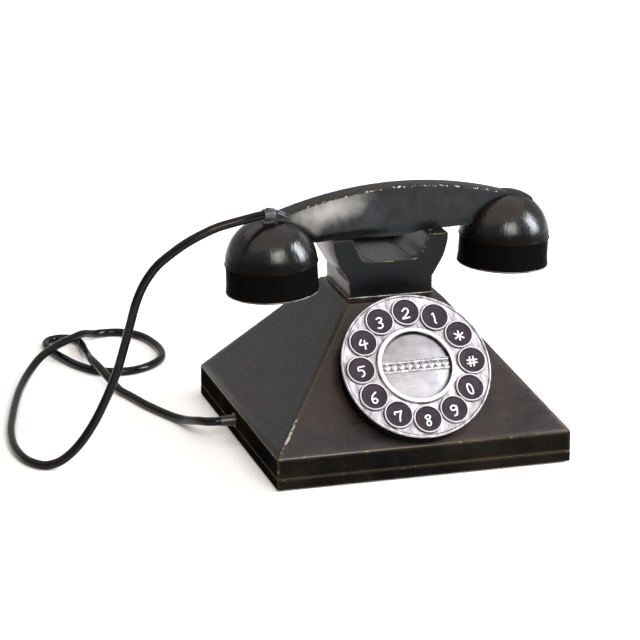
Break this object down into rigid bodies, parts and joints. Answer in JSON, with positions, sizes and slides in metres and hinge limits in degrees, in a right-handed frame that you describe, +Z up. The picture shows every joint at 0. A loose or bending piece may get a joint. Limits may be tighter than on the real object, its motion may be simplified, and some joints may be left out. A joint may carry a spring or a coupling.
{
  "type": "desk telephone",
  "caption": "Pyramid-bodied desk telephone with a flared cradle, lift-off arched handset, silver dial plate whose finger holes are push keys, and a loose handset cord",
  "frame": {"origin": "on the table, at the middle of the outer box measured without the handset cord", "axes": "+X from the mouthpiece end with the cord to the earpiece end, +Y from the dial to the back, +Z up"},
  "size_m": [0.3505, 0.3437, 0.1648],
  "materials": {
    "black_enamel": "satin black enamel on sheet steel, bronze showing at the worn edges",
    "rubber_foot": "black moulded rubber",
    "screw_steel": "plain steel",
    "jack_plastic": "black moulded plastic",
    "circuit_board": "green lacquered board",
    "bell_brass": "spun brass, lightly tarnished",
    "zinc_steel": "bright zinc plate",
    "coil_tape": "red winding tape",
    "dial_silver": "satin silver with fine scratches",
    "mat_rubber": "pale grey silicone",
    "key_plastic": "charcoal, white painted numerals",
    "cup_gloss": "polished black",
    "capsule_metal": "plain aluminium can",
    "cord_sheath": "glossy black sheath"
  },
  "bodies": {
    "base": {"housing_shell": "black_enamel", "base_tray": "black_enamel", "feet": "rubber_foot", "base_screws": "screw_steel", "cord_gland": "rubber_foot", "line_jack": "jack_plastic", "main_board": "circuit_board", "gong_left": "bell_brass", "gong_right": "bell_brass", "ringer_frame": "zinc_steel", "ringer_coils": "coil_tape", "dial_housing": "black_enamel", "dial_screws": "screw_steel", "key_board": "circuit_board", "key_mat": "mat_rubber", "dial_face": "dial_silver", "centre_card": "dial_silver", "cradle_front": "black_enamel", "cradle_back": "black_enamel", "cradle_skin": "black_enamel", "cradle_screws": "screw_steel", "hook_spring": "zinc_steel", "hook_bracket": "zinc_steel", "hook_switch": "jack_plastic", "cord": "cord_sheath"},
    "handset": {"grip_front": "black_enamel", "grip_back": "black_enamel", "grip_floor": "black_enamel", "grip_strap": "black_enamel", "transmitter_dome": "cup_gloss", "receiver_dome": "cup_gloss", "transmitter_cap": "cup_gloss", "receiver_cap": "cup_gloss", "transmitter_capsule": "capsule_metal", "receiver_capsule": "capsule_metal", "cord_clamp": "screw_steel", "cord_lead": "cord_sheath"},
    "hook": {"hook_lifter": "zinc_steel"},
    "clapper": {"clapper": "zinc_steel"},
    "key_1": {"key_1": "key_plastic"},
    "key_2": {"key_2": "key_plastic"},
    "key_3": {"key_3": "key_plastic"},
    "key_4": {"key_4": "key_plastic"},
    "key_5": {"key_5": "key_plastic"},
    "key_6": {"key_6": "key_plastic"},
    "key_7": {"key_7": "key_plastic"},
    "key_8": {"key_8": "key_plastic"},
    "key_9": {"key_9": "key_plastic"},
    "key_0": {"key_0": "key_plastic"},
    "key_star": {"key_star": "key_plastic"},
    "key_hash": {"key_hash": "key_plastic"}
  },
  "joints": [
    {"name": "handset_lift", "type": "slide", "parent": "base", "child": "handset", "axis": [0, 0, 1], "range_m": [0, 0.06]},
    {"name": "hook_rise", "type": "slide", "parent": "base", "child": "hook", "axis": [0, 0, 1], "range_m": [0, 0.004], "stiffness_N_per_m": 100, "springref_m": 0.008, "deforming": ["hook_spring"]},
    {"name": "clapper_swing", "type": "hinge", "parent": "base", "child": "clapper", "pos_m": [-0.003, 0.02121, 0.0115], "axis": [0, 0, 1], "range_deg": [-2.5, 2.5]},
    {"name": "key_1_press", "type": "slide", "parent": "base", "child": "key_1", "axis": [0, 0.7585, -0.6516], "range_m": [0, 0.0015], "stiffness_N_per_m": 300, "springref_m": -0.001},
    {"name": "key_2_press", "type": "slide", "parent": "base", "child": "key_2", "axis": [0, 0.7585, -0.6516], "range_m": [0, 0.0015], "stiffness_N_per_m": 300, "springref_m": -0.001},
    {"name": "key_3_press", "type": "slide", "parent": "base", "child": "key_3", "axis": [0, 0.7585, -0.6516], "range_m": [0, 0.0015], "stiffness_N_per_m": 300, "springref_m": -0.001},
    {"name": "key_4_press", "type": "slide", "parent": "base", "child": "key_4", "axis": [0, 0.7585, -0.6516], "range_m": [0, 0.0015], "stiffness_N_per_m": 300, "springref_m": -0.001},
    {"name": "key_5_press", "type": "slide", "parent": "base", "child": "key_5", "axis": [0, 0.7585, -0.6516], "range_m": [0, 0.0015], "stiffness_N_per_m": 300, "springref_m": -0.001},
    {"name": "key_6_press", "type": "slide", "parent": "base", "child": "key_6", "axis": [0, 0.7585, -0.6516], "range_m": [0, 0.0015], "stiffness_N_per_m": 300, "springref_m": -0.001},
    {"name": "key_7_press", "type": "slide", "parent": "base", "child": "key_7", "axis": [0, 0.7585, -0.6516], "range_m": [0, 0.0015], "stiffness_N_per_m": 300, "springref_m": -0.001},
    {"name": "key_8_press", "type": "slide", "parent": "base", "child": "key_8", "axis": [0, 0.7585, -0.6516], "range_m": [0, 0.0015], "stiffness_N_per_m": 300, "springref_m": -0.001},
    {"name": "key_9_press", "type": "slide", "parent": "base", "child": "key_9", "axis": [0, 0.7585, -0.6516], "range_m": [0, 0.0015], "stiffness_N_per_m": 300, "springref_m": -0.001},
    {"name": "key_0_press", "type": "slide", "parent": "base", "child": "key_0", "axis": [0, 0.7585, -0.6516], "range_m": [0, 0.0015], "stiffness_N_per_m": 300, "springref_m": -0.001},
    {"name": "key_star_press", "type": "slide", "parent": "base", "child": "key_star", "axis": [0, 0.7585, -0.6516], "range_m": [0, 0.0015], "stiffness_N_per_m": 300, "springref_m": -0.001},
    {"name": "key_hash_press", "type": "slide", "parent": "base", "child": "key_hash", "axis": [0, 0.7585, -0.6516], "range_m": [0, 0.0015], "stiffness_N_per_m": 300, "springref_m": -0.001}
  ],
  "couplings": [
    {"joint": "hook_rise", "follows": "handset_lift", "ratio": 0.0666}
  ]
}
